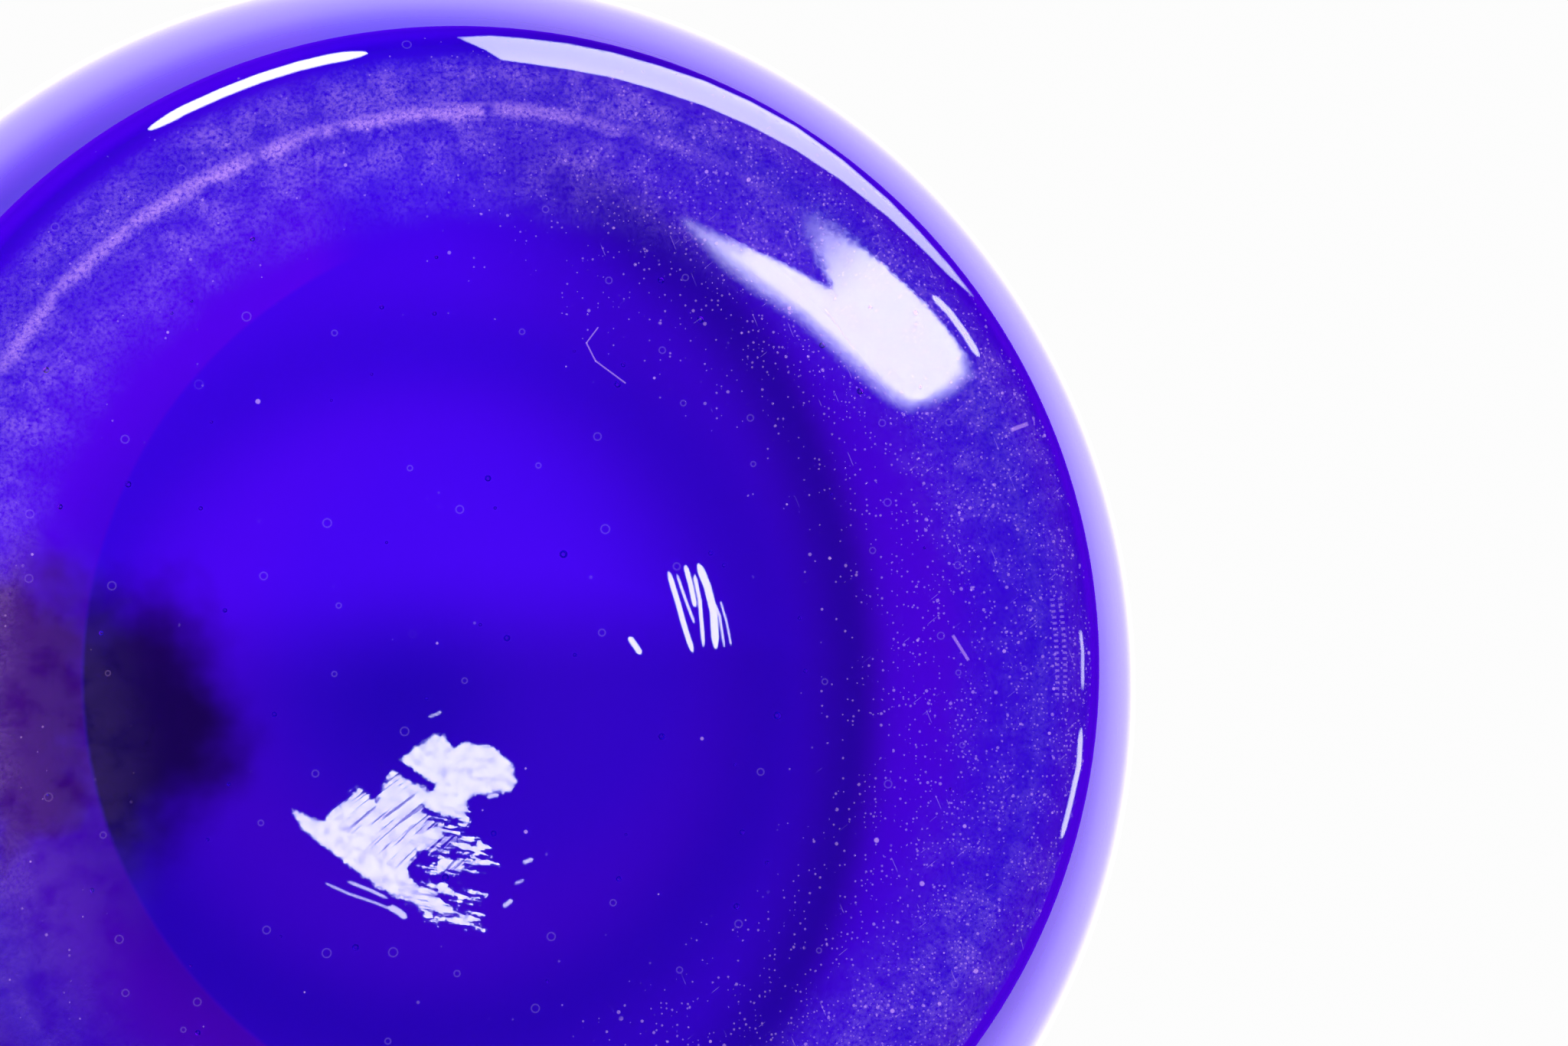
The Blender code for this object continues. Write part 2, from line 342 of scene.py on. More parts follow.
class Bench:
    def __init__(self, tree):
        self.tree = tree

    def node(self, kind, settings=None, values=None, out=0):
        made = self.tree.nodes.new(kind)
        for key, value in (settings or {}).items():
            setattr(made, key, value)
        for key, value in (values or {}).items():
            if isinstance(value, Wire):
                self.tree.links.new(value.socket, made.inputs[key])
            else:
                made.inputs[key].default_value = value
        return Wire(self, made.outputs[out])

    # the tree's last node, fed by these wires
    def give(self, kind, wires):
        end = self.tree.nodes.new(kind)
        for label, wire in wires.items():
            self.tree.links.new(wire.socket, end.inputs[label])

    def attribute(self, name):
        return self.node("ShaderNodeAttribute", {"attribute_type": "GEOMETRY", "attribute_name": name},
                         None, "Fac")

    def plane(self, x, y):
        return self.node("ShaderNodeCombineXYZ", None, {0: x, 1: y})

    def parts(self, vector):
        first = self.node("ShaderNodeSeparateXYZ", None, {0: vector})
        return first, *[Wire(self, first.socket.node.outputs[i]) for i in (1, 2)]

    def cloud(self, vector, size, detail=3.0, rough=0.55):
        return self.node("ShaderNodeTexNoise", {"noise_dimensions": "3D"}, {
            "Vector": vector, "Scale": 1 / size, "Detail": detail, "Roughness": rough}, 0)

    # a scatter of spots, about one in each square of this size: how far away the nearest one is,
    # where it is, and two chance numbers of its own
    def scatter(self, x, y, size):
        away = self.node("ShaderNodeTexVoronoi", {"voronoi_dimensions": "2D", "feature": "F1"}, {
            "Vector": self.plane(x, y), "Scale": 1 / size, "Randomness": 1.0}, "Distance")
        place, colour = [Wire(self, away.socket.node.outputs[label]) for label in ("Position", "Color")]
        lot, girth, _ = self.parts(colour)
        return away * size, place, lot, girth

    # specks, of which the given share shows
    def specks(self, x, y, size, largest, share):
        away, _, lot, girth = self.scatter(x, y, size)
        away = away / ((girth * 0.8 + 0.2) * largest)
        return away.rise(1.0, 0.55) * (share - lot).rise(0.0, 0.02)

    def ringMarks(self, x, y, size, radius, width, share):
        away, _, lot, girth = self.scatter(x, y, size)
        outside = abs(away - (girth * 0.6 + 0.7) * radius)
        return outside.rise(width * 1.6, width * 0.4) * (share - lot).rise(0.0, 0.02)

    # short straight scratches along one direction
    def scratches(self, x, y, degrees, length, width, share):
        cosine, sine = math.cos(math.radians(degrees)), math.sin(math.radians(degrees))
        along = (x * cosine + y * sine) / length
        across = (y * cosine - x * sine) / width * 0.12
        _, place, lot, _ = self.scatter(along, across, 1.0)
        spotX, spotY, _ = self.parts(place)
        near, reach = abs(across - spotY) / 0.06, abs(along - spotX)
        return near.rise(1.0, 0.4) * reach.rise(0.42, 0.25) * (share - lot).rise(0.0, 0.02)

    # a mark between two points
    def stroke(self, x, y, start, end, width):
        length = math.dist(start, end)
        cosine, sine = (end[0] - start[0]) / length, (end[1] - start[1]) / length
        along = (x - start[0]) * cosine + (y - start[1]) * sine
        across = (y - start[1]) * cosine - (x - start[0]) * sine
        middle = abs(along - length / 2)
        return abs(across).rise(width, width * 0.4) * middle.rise(length / 2 + width, length / 2)

    def mixShaders(self, factor, first, second):
        return self.node("ShaderNodeMixShader", None, {0: factor, 1: first, 2: second})


# a bench on the emptied node tree of a material or a world
def benchFor(owner):
    owner.use_nodes = True
    owner.node_tree.nodes.clear()
    return Bench(owner.node_tree)


glass = {
    "ior": 1.52, "absorb": (0.80, 0.0, 0.972), "density": 464.0,
    "frost": (0.74, 0.40, 1.0), "frostRoughness": 0.7, "floorDulling": 0.42, "wallBlueing": 0.46,
}


# clear glass that takes its colour from its depth and from tintOf (on the jar's floor, painted shade and
# light);
# zoneOf gives a cheap mask of the worn zone and how dull the rest is, and frostOf, worked out only in that
# zone, says how far the surface is ground or worn (on the foot, with painted light where it is raked)
def blueGlass(name, zoneOf, frostOf, tintOf):
    material = bpy.data.materials.new(name)
    bench = benchFor(material)
    place = bench.node("ShaderNodeTexCoord", None, None, "Object")
    millimetres = bench.node("ShaderNodeVectorMath", {"operation": "SCALE"}, {0: place, "Scale": 1000.0})
    x, y, z = bench.parts(millimetres)
    zone, roughness = zoneOf(bench, x, y, z)
    clear, wornClear = [bench.node("ShaderNodeBsdfPrincipled", None, {
        "Base Color": colour, "Roughness": value, "IOR": glass["ior"], "Transmission Weight": 1.0})
        for value, colour in ((roughness, tintOf(bench, x, y, z)), (0.0, (1, 1, 1, 1)))]
    ground = bench.node("ShaderNodeBsdfPrincipled", None, {
        "Base Color": (*glass["frost"], 1), "Roughness": glass["frostRoughness"], "IOR": glass["ior"]})
    frost = frostOf(bench, millimetres, x, y, z)
    surface = bench.mixShaders(zone, clear, bench.mixShaders(frost, wornClear, ground))
    inside = bench.node("ShaderNodeVolumeAbsorption", None, {
        "Color": (*glass["absorb"], 1), "Density": glass["density"]})
    bench.give("ShaderNodeOutputMaterial", {"Surface": surface, "Volume": inside})
    return material


# lengths in millimetres; +x and +y run right and down the base as the camera sees it
footWear = {
    "centre": (0.8, 1.2),
    "ring": 43.4, "ringWidth": 0.95, "ringFrost": 0.30,
    "haze": (34.0, 41.5), "hazeEnd": (48.4, 46.4),
    "film": (-38.0, 11.0), "filmReach": (13.0, 23.0), "filmFrost": 0.026,
    # dust and specks: shift, square, largest radius, share of the crowd, share everywhere, frost
    "specks": (((0.0, 0.0), 0.40, 0.12, 1.0, 0.0, 0.17),
               ((7.3, -2.1), 0.9, 0.18, 0.6, 0.01, 0.20),
               ((-3.7, 9.4), 3.4, 0.24, 0.5, 0.05, 0.34)),
    # scratches: shift, slant in degrees, length, width, share of the crowd
    "scratches": ((0.0, 68, 1.6, 0.07, 0.09), (5.0, -38, 1.2, 0.06, 0.07)), "scratchFrost": 0.15,
    # marks of their own: start, end, width
    "marks": (((9.6, -25.5), (8.7, -24.3), 0.07), ((8.7, -24.3), (9.4, -22.9), 0.08),
              ((9.4, -22.9), (11.7, -21.2), 0.08), ((37.2, -1.4), (38.3, 0.4), 0.16),
              ((42.1, -17.6), (43.4, -18.1), 0.22), ((27.4, -27.0), (29.6, -23.9), 0.06)),
    "markFrost": 0.26,
    # a comb of fine tool marks at the right: its two angles, its radius and step
    "combFrom": -0.135, "combTo": 0.06, "comb": 44.9, "combStep": 0.47, "combFrost": 0.16,
    "bubbleFrost": 0.06, "mostFrost": 0.72,
}

# painted shade and light in the jar's floor, from surroundings seen through it; lengths in millimetres
floorShade = {
    "shift": (1.1, -0.6), "shadeOval": (-7.1, 3.0), "shadeOvalReach": (37.4, 46.0),
    "lightOval": (5.6, 1.6), "lightOvalReach": (36.8, 36.8),
    "shadeSmear": (-28.5, 5.2), "shadeSmearReach": (11.0, 12.8), "shadeSmearRed": 0.80, "shadeSmearBlue": 0.88,
    "dusk": (-39.0, 4.0), "duskReach": (11.0, 14.0), "duskRed": 0.40, "duskBlue": 0.78,
}


# painted shade and light: darker to the right, low down, in a band and in two smudges at the left; lighter
# beyond the left arc
def floorTintPaintedLightAndShade(bench, x, y, z):
    innerSide = bench.attribute("innerSide")
    x, y = x - floorShade["shift"][0], y - floorShade["shift"][1]

    # how far away a spot is, as a share of a reach
    def apart(centre, reach):
        across, down = (x - centre[0]) / reach[0], (y - centre[1]) / reach[1]
        return (across * across + down * down) ** 0.5

    shadeOval, lightOval, shadeSmear, dusk = [apart(floorShade[part], floorShade[part + "Reach"])
                                  for part in ("shadeOval", "lightOval", "shadeSmear", "dusk")]
    middle = apart((0.0, 0.0), (1.0, 1.0))
    drift = bench.cloud(bench.plane(x, y), 8.0, 3.0) - 0.5
    shadeSmear, dusk = shadeSmear + drift * 0.9, dusk + drift * 1.2
    right, left, low = x.rise(-6.0, 14.0), x.rise(-8.0, -16.0), (y + x * 0.06).rise(-8.0, 3.0)
    rim = shadeOval.rise(0.98, 1.16) * right.most(low)
    # painted light beyond the arc at the left; painted shade darker towards the right and the bottom, and
    # in a band
    beyond = lightOval.rise(0.992, 1.008) * left
    deep = (shadeOval.rise(0.30, 1.0) * right).most(low) * (1 - rim) * (1 - beyond)
    band = shadeOval.rise(0.84, 1.0) * shadeOval.rise(1.10, 1.0) * right
    # painted shade: two dark smudges at the left
    shadeSmeared = shadeSmear.rise(1.15, 0.45) * (1 - beyond)
    dusky = dusk.rise(1.20, 0.60).most(y.rise(4.0, 12.0) * 0.60) * beyond
    blue = 1.0 - deep * 0.38 - band * 0.24 - rim * right * 0.20
    blue = blue * (1 - shadeSmeared * floorShade["shadeSmearBlue"]) * (1 - dusky * floorShade["duskBlue"])
    red = 0.56 - deep * 0.22 + rim * (0.16 + shadeOval.rise(1.12, 1.30) * 0.40) + beyond * 0.50 - band * 0.15
    red = red - middle.rise(23.0, 13.0) * 0.12 + middle.rise(22.0, 28.0) * (1 - deep) * 0.07
    red = red.least(1.0) * (1 - shadeSmeared * floorShade["shadeSmearRed"]) * (1 - dusky * floorShade["duskRed"])
    # the tint counts in full on the inner floor and fades up the inner wall; the outer wall is bluer
    floorPart = innerSide * z.rise(44.0, 24.0)
    red, blue = 1 - (1 - red) * floorPart, 1 - (1 - blue) * floorPart
    red = red * (1 - (1 - innerSide) * z.rise(9.0, 16.0) * glass["wallBlueing"])
    # a surface lets through the square root of its colour
    return bench.node("ShaderNodeCombineColor", None, {0: red * red, 1: blue, 2: blue * blue})


def jarZones(bench, x, y, z):
    innerSide = bench.attribute("innerSide")
    return z.rise(2.4, 2.2), innerSide * z.rise(46.0, 22.0) * glass["floorDulling"]


def footFrostAndRakedLight(bench, p, x, y, z):
    cx, cy = x - footWear["centre"][0], y - footWear["centre"][1]
    away = (cx * cx + cy * cy) ** 0.5
    angle = bench.node("ShaderNodeMath", {"operation": "ARCTAN2"}, {0: cy, 1: cx})
    upperLeft = ((cx * -0.68 + cy * -0.73) / away).rise(0.10, 0.80)
    raked = ((cx * -0.40 + cy * -0.92) / away).rise(0.72, 0.97)
    right = (cx / away).rise(-0.25, 0.70)
    broad, mottle = bench.cloud(p, 8.0, 2.0), bench.cloud(p, 2.6, 3.0, 0.6)
    fine = bench.cloud(p, 0.32, 3.0, 0.7)
    # the frosted ring that the jar stands on, painted stronger where the light rakes it: painted light
    wander = away + (broad - 0.5) * 1.4 + (mottle - 0.5) * 0.9
    ring = abs(wander - footWear["ring"]).rise(footWear["ringWidth"], 0.0) * fine.rise(0.20, 0.62)
    # painted light: the ring's frost grows on the upper left, where the light rakes it
    paintedRakeLight = 0.06 + upperLeft * 0.30 + raked * 0.64
    frost = ring * footWear["ringFrost"] * paintedRakeLight * mottle.rise(0.25, 0.50)
    # a thin haze round the ring
    haze = away.rise(*footWear["haze"]) * away.rise(*footWear["hazeEnd"]) * fine.rise(0.28, 0.70)
    haze = haze * (0.34 + mottle.rise(0.34, 0.66) * broad.rise(0.25, 0.60) * 1.15)
    slope = cy / away
    patchy = right * (slope.rise(0.20, 0.55) + slope.rise(-0.15, -0.45) + 0.35)
    frost = frost + haze * (0.012 + upperLeft * 0.13 + patchy * 0.045)
    # a greyish film at the left
    across, down = [(value - middle) / reach for value, middle, reach
                    in zip((x, y), footWear["film"], footWear["filmReach"])]
    filmed = (across**2 + down**2).rise(1.4, 0.1)
    frost = frost + filmed * mottle.rise(0.20, 0.60) * footWear["filmFrost"]
    # dust, specks and scratches, thick on the right and towards the rim
    crowd = away.rise(22.0, 43.0) * (0.05 + right * 0.92) * (0.25 + mottle.rise(0.44, 0.60) * 0.75)
    for (shiftX, shiftY), square, largest, ofCrowd, everywhere, depth in footWear["specks"]:
        share = crowd * ofCrowd + everywhere
        frost = frost + bench.specks(x + shiftX, y + shiftY, square, largest, share) * depth
    for shift, slant, length, width, ofCrowd in footWear["scratches"]:
        scratches = bench.scratches(x + shift, y, slant, length, width, crowd * ofCrowd)
        frost = frost + scratches * footWear["scratchFrost"]
    for start, end, width in footWear["marks"]:
        frost = frost + bench.stroke(x, y, start, end, width) * footWear["markFrost"]
    sector = angle.rise(footWear["combFrom"], footWear["combFrom"] + 0.02)
    sector = sector * angle.rise(footWear["combTo"], footWear["combTo"] - 0.02)
    teeth = bench.node("ShaderNodeMath", {"operation": "SINE"},
                       {0: angle * (45.2 * math.tau / footWear["combStep"])})
    comb = sector * teeth.rise(0.0, 0.6) * abs(abs(away - footWear["comb"]) - 0.34).rise(0.24, 0.10)
    # seed bubbles that the polishing opened: faint rings
    opened = bench.ringMarks(x + 1.7, y + 4.4, 5.4, 0.26, 0.05, 0.42)
    frost = frost + comb * footWear["combFrost"] + opened * footWear["bubbleFrost"]
    return frost.least(footWear["mostFrost"])


# the lid's wall is as blue as the jar's; its two sides share the tint
def lidTint(bench, x, y, z):
    return 1.0 - glass["wallBlueing"], 1.0, 1.0, 1.0


# only the top of the knob is worn
def lidZones(bench, x, y, z):
    return z.rise(1000 * (crown + 0.018), 1000 * (crown + 0.022)), 0.0


def knobFrost(bench, p, x, y, z):
    marks = bench.scratches(x, y, 20, 2.4, 0.08, 0.20) + bench.scratches(x, y, -62, 2.0, 0.08, 0.20)
    return marks * 0.20 + bench.specks(x, y, 1.5, 0.10, 0.20) * 0.25


jarGlass = blueGlass("jarBlueGlass", jarZones, footFrostAndRakedLight, floorTintPaintedLightAndShade)
lidGlass = blueGlass("lidBlueGlass", lidZones, knobFrost, lidTint)
print("glass mixed")

seeds = {
    "base": {"sheet": [(0.0001, 0.0061), (0.0400, 0.0061)], "Bubbles per square metre": 14000.0,
             "Smallest radius": 0.00012, "Largest radius": 0.00034, "Depth either way": 0.0034, "Seed": 4},
    "wall": {"sheet": [(0.0552, 0.0360), (0.0608, 0.0480), (0.0612, 0.0620), (0.0576, 0.0760)],
             "Bubbles per square metre": 1500.0,
             "Smallest radius": 0.00010, "Largest radius": 0.00032, "Depth either way": 0.0003, "Seed": 9},
    "dome": {"sheet": [(0.0110, crown - 0.0018), (0.0240, crown - 0.0034)],
             "Bubbles per square metre": 6000.0,
             "Smallest radius": 0.00010, "Largest radius": 0.00028, "Depth either way": 0.0004, "Seed": 5},
}
jarSeeds, lidSeeds = seedTree(jarGlass), seedTree(lidGlass)
jarPiece = glassPiece("blownJar", jarOutline(), jar["around"], jarGlass,
                      [seedMesh(jarSeeds, seeds["base"]), seedMesh(jarSeeds, seeds["wall"])])
lidPiece = glassPiece("domedLid", lidOutline(), lid["around"], lidGlass,
                      [seedMesh(lidSeeds, seeds["dome"])])

for piece, body, nodes in ((jarPiece, "jar", ("jar_body",)), (lidPiece, "lid", ("lid", "lid_knob"))):
    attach(piece, body)
    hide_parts(*nodes)

# camera, on the photograph's own line of sight: it looks up at the foot, a little off the jar's axis
view = {"lens": 100.0, "sensor": 36.0, "clip": 0.01, "across": 2048, "down": 1366,
        "axisInView": (-0.15, 0.081, 1.0), "baseInView": (-0.0235, 0.0102, 0.3335)}
axis = Vector(view["axisInView"]).normalized()
jarX = Vector((0, 1, 0)).cross(axis).normalized()
toJar = Matrix((jarX, axis.cross(jarX), axis))
viewRight, viewDown, viewAlong = (toJar @ Vector(v) for v in ((1, 0, 0), (0, 1, 0), (0, 0, 1)))
eye = -(toJar @ Vector(view["baseInView"]))
facing = Matrix((viewRight, -viewDown, -viewAlong)).transposed()
camera = linked("camera", bpy.data.cameras.new("camera"))
camera.matrix_world = Matrix.Translation(eye) @ facing.to_4x4()
camera.data.lens, camera.data.sensor_width = view["lens"], view["sensor"]
camera.data.clip_start = view["clip"]
scene.camera = camera
print("camera placed")

# light cards: each is laid out by the highlight that it makes on the foot, in pixels of the photograph
footOutline = joinRuns((footRise, 0, 0, 0), *undersideRuns())
footNormals = outlineNormals(footOutline)
footSurface = BVHTree.FromPolygons([vertex.co.copy() for vertex in jarPiece.data.vertices],
                                   [tuple(face.vertices) for face in jarPiece.data.polygons])
cards = {
    "highest": 1.5,  # the highest spot on the foot that mirrors one, in foot heights
    "taper": 3.2,  # how soon a streak is at its full width
    "margin": 1.5,  # steps of the grid that run on past the soft edge
    "longest": 0.5,  # the longest cell, in distances
}


# the nearest spot on a straight stretch: its share of the way along, and how far away it is
def nearestOn(start, end, x, y):
    spanX, spanY = end[0] - start[0], end[1] - start[1]
    share = ((x - start[0]) * spanX + (y - start[1]) * spanY) / (spanX**2 + spanY**2)
    share = min(1.0, max(0.0, share))
    return share, math.hypot(x - start[0] - spanX * share, y - start[1] - spanY * share)


def footNormal(radius, height):
    nearest, normal = math.inf, None
    for i in range(len(footOutline) - 1):
        share, away = nearestOn(footOutline[i], footOutline[i + 1], radius, height)
        if away < nearest:
            nearest = away
            normal = [a + (b - a) * share for a, b in zip(footNormals[i], footNormals[i + 1])]
    return normal


# where the line of sight through a pixel goes after the foot has mirrored it, this far on
def bounce(u, v, distance):
    focal = view["lens"] / view["sensor"] * view["across"]
    ray = viewRight * (u - view["across"] / 2) + viewDown * (v - view["down"] / 2) + viewAlong * focal
    ray.normalize()
    hit, _, _, _ = footSurface.ray_cast(eye, ray)
    if hit is None or hit.z > jar["footHeight"] * cards["highest"]:
        return None
    radius = math.hypot(hit.x, hit.y)
    normalR, normalZ = footNormal(radius, hit.z)
    normal = Vector((normalR * hit.x / radius, normalR * hit.y / radius, normalZ)).normalized()
    thrown = ray - normal * (2 * ray.dot(normal))
    return hit + thrown * distance


# how far a spot lies inside a closed shape, in pixels; below 0 outside it
def insideShape(shape, u, v):
    nearest, inside = math.inf, False
    for (au, av), (bu, bv) in zip(shape, shape[1:] + shape[:1]):
        nearest = min(nearest, nearestOn((au, av), (bu, bv), u, v)[1])
        if (av > v) != (bv > v) and u < au + (v - av) * (bu - au) / (bv - av):
            inside = not inside
    return nearest if inside else -nearest


# the same for a streak: a bent line whose width tapers towards its ends
def insideStreak(line, width, u, v):
    best, last = -math.inf, len(line) - 1
    for i in range(last):
        share, away = nearestOn(line[i], line[i + 1], u, v)
        along = (i + share) / last
        full = min(1.0, cards["taper"] * math.sqrt(along * (1 - along)))
        best = max(best, width / 2 * full - away)
    return best


# a grid over the highlight, thrown back off the foot; each point keeps its pixel and its depth inside
def cardMesh(name, light):
    distance, step, soft = light["distance"], light["step"], light["soft"]
    shapes, streaks, cuts = light.get("shapes", []), light.get("streaks", []), light.get("cuts", [])
    spots = [spot for shape in shapes + cuts for spot in shape]
    spots += [spot for line, _ in streaks for spot in line]
    pad = soft + step + max([width for _, width in streaks] + [0])
    lowU, highU = min(u for u, _ in spots) - pad, max(u for u, _ in spots) + pad
    lowV, highV = min(v for _, v in spots) - pad, max(v for _, v in spots) + pad
    acrossCount, downCount = int((highU - lowU) / step) + 1, int((highV - lowV) / step) + 1
    points, depths, places, found = [], [], [], {}
    for i in range(acrossCount):
        for j in range(downCount):
            u, v = lowU + i * step, lowV + j * step
            depth = max([insideShape(shape, u, v) for shape in shapes]
                        + [insideStreak(line, width, u, v) for line, width in streaks])
            for cut in cuts:
                depth = min(depth, -insideShape(cut, u, v))
            point = bounce(u, v, distance) if depth > -soft - step * cards["margin"] else None
            if point is not None:
                found[i, j] = len(points)
                points.append(point)
                depths.append(depth)
                places.append((u / 100, v / 100))
    faces = []
    for i, j in found:
        corners = [found.get(corner) for corner in ((i, j), (i + 1, j), (i + 1, j + 1), (i, j + 1))]
        if None not in corners:
            longest = max((points[a] - points[b]).length for a in corners for b in corners)
            if longest < distance * cards["longest"]:
                faces.append(corners)
    mesh = bpy.data.meshes.new(name)
    mesh.from_pydata(points, [], faces)
    mesh.attributes.new("depth", "FLOAT", "POINT").data.foreach_set("value", depths)
    layer = mesh.uv_layers.new(name="place")
    for loop in mesh.loops:
        layer.data[loop.index].uv = places[loop.vertex_index]
    return mesh


# for mirror reflections alone
def mirrorOnly(piece):
    piece.visible_camera = piece.visible_diffuse = False
    piece.visible_transmission = piece.visible_shadow = False
    piece.data.materials[0].cycles.emission_sampling = "NONE"


def lightCard(name, light):
    material = bpy.data.materials.new(name)
    bench = benchFor(material)
    u, v, _ = bench.parts(bench.node("ShaderNodeTexCoord", None, None, "UV"))
    mask, shade = light["look"](bench, u * 100, v * 100, bench.attribute("depth"), light["soft"])
    lamp = bench.node("ShaderNodeEmission", None, {
        "Color": bench.node("ShaderNodeCombineColor", None, {0: shade, 1: shade, 2: shade}),
        "Strength": light["strength"]})
    clear = bench.node("ShaderNodeBsdfTransparent")
    bench.give("ShaderNodeOutputMaterial", {"Surface": bench.mixShaders(mask, clear, lamp)})
    card = linked(name, cardMesh(name, light))
    card.data.materials.append(material)
    mirrorOnly(card)
    print("card", name, len(card.data.polygons), "faces")


# looks: where a card shines and how brightly, from the pixel (u, v) and its depth inside the highlight
def plainLook(bench, u, v, depth, soft):
    return depth.rise(-soft / 2, soft / 2), 1.0


# the heel's outline in the photograph, a hair narrower than it is tall
heelSeen = {"centre": (614.0, 862.5), "widening": 1.026, "radius": 828.0, "dim": 0.30, "brighter": 0.034}


# the long panel is dimmer where the heel turns away and mirrors more
def panelLook(bench, u, v, depth, soft):
    across, down = (u - heelSeen["centre"][0]) * heelSeen["widening"], v - heelSeen["centre"][1]
    inward = heelSeen["radius"] - (across * across + down * down) ** 0.5
    return depth.rise(-soft / 2, soft / 2), heelSeen["dim"] + inward.most(0.0) * heelSeen["brighter"]


opening = {"grain": 9, "torn": 12.0, "hazyTorn": 40.0, "hazyInset": 5.0, "crisp": 5.0, "hazyLoss": 0.84,
           "bright": 0.94, "mottled": 0.30}


# a bright opening seen in glass that was polished by hand: crisp above, soft along its lower side,
# hazy in its upper prong
def openingLook(bench, u, v, depth, soft):
    lower = (v * 0.76 - u * 0.65 + 395.0).rise(0.0, 30.0).most((u + v).rise(1700.0, 1760.0))
    grain = bench.cloud(bench.plane(u / opening["grain"], v / opening["grain"]), 1.0, 4.0, 0.7) - 0.5
    hazy = (u - v).rise(680.0, 715.0) * (u + v).rise(1510.0, 1330.0)
    edge = depth + grain * (opening["torn"] + hazy * opening["hazyTorn"]) - hazy * opening["hazyInset"]
    edge = edge / (opening["crisp"] + lower.most(hazy) * soft)
    mask = edge.rise(-0.4, 1.0) * (1 - hazy * opening["hazyLoss"])
    return mask, opening["bright"] + grain * opening["mottled"]


polish = {
    "bend": 0.0012, "bendAt": 1100.0, "stroke": (90, 4.6), "strokeTorn": 22.0, "strokeGaps": 0.75,
    "wisp": (34, 7), "wispTorn": 60.0, "wispGaps": 0.8,
    "puff": 13, "torn": 16.0, "raggedTorn": 34.0, "dim": 0.60,
}


# strokes of the polishing wheel break this one up; its lower right end is ragged with wisps
def strokeLook(bench, u, v, depth, soft):
    bend = (v - polish["bendAt"]) * (v - polish["bendAt"]) * polish["bend"]
    along, across = u * 0.74 - v * 0.67 + bend, u * 0.67 + v * 0.74 - bend
    strokes = bench.cloud(bench.plane(along / polish["stroke"][0], across / polish["stroke"][1]), 1.0, 2.0)
    along, across = u * 0.98 + v * 0.2, v * 0.98 - u * 0.2
    wisps = bench.cloud(bench.plane(along / polish["wisp"][0], across / polish["wisp"][1]), 1.0, 2.0, 0.6)
    puffs = bench.cloud(bench.plane(u / polish["puff"], v / polish["puff"]), 1.0, 4.0, 0.7)
    body = (u * 0.75 - v * 0.66 + 290.0).rise(24.0, 0.0)
    ragged = (u + v * 0.25 - 790.0).rise(0.0, 90.0) * v.rise(1050.0, 1080.0)
    broken = ((u - 380.0) * 0.63 - (v - 1056.0) * 0.78).rise(14.0, 44.0) * body
    torn = depth + (puffs - 0.5) * (polish["torn"] + ragged * polish["raggedTorn"])
    torn = torn + (wisps - 0.5) * ragged * polish["wispTorn"]
    torn = torn + (strokes - 0.5) * (1 - ragged) * broken * polish["strokeTorn"]
    gaps = strokes.rise(0.46, 0.38) * broken * polish["strokeGaps"]
    gaps = gaps + wisps.rise(0.52, 0.42) * ragged * polish["wispGaps"]
    mask = torn.rise(0.0, soft) * (1 - gaps).most(0.0)
    return mask, polish["dim"] + puffs.rise(0.30, 0.62) * (1 - polish["dim"])


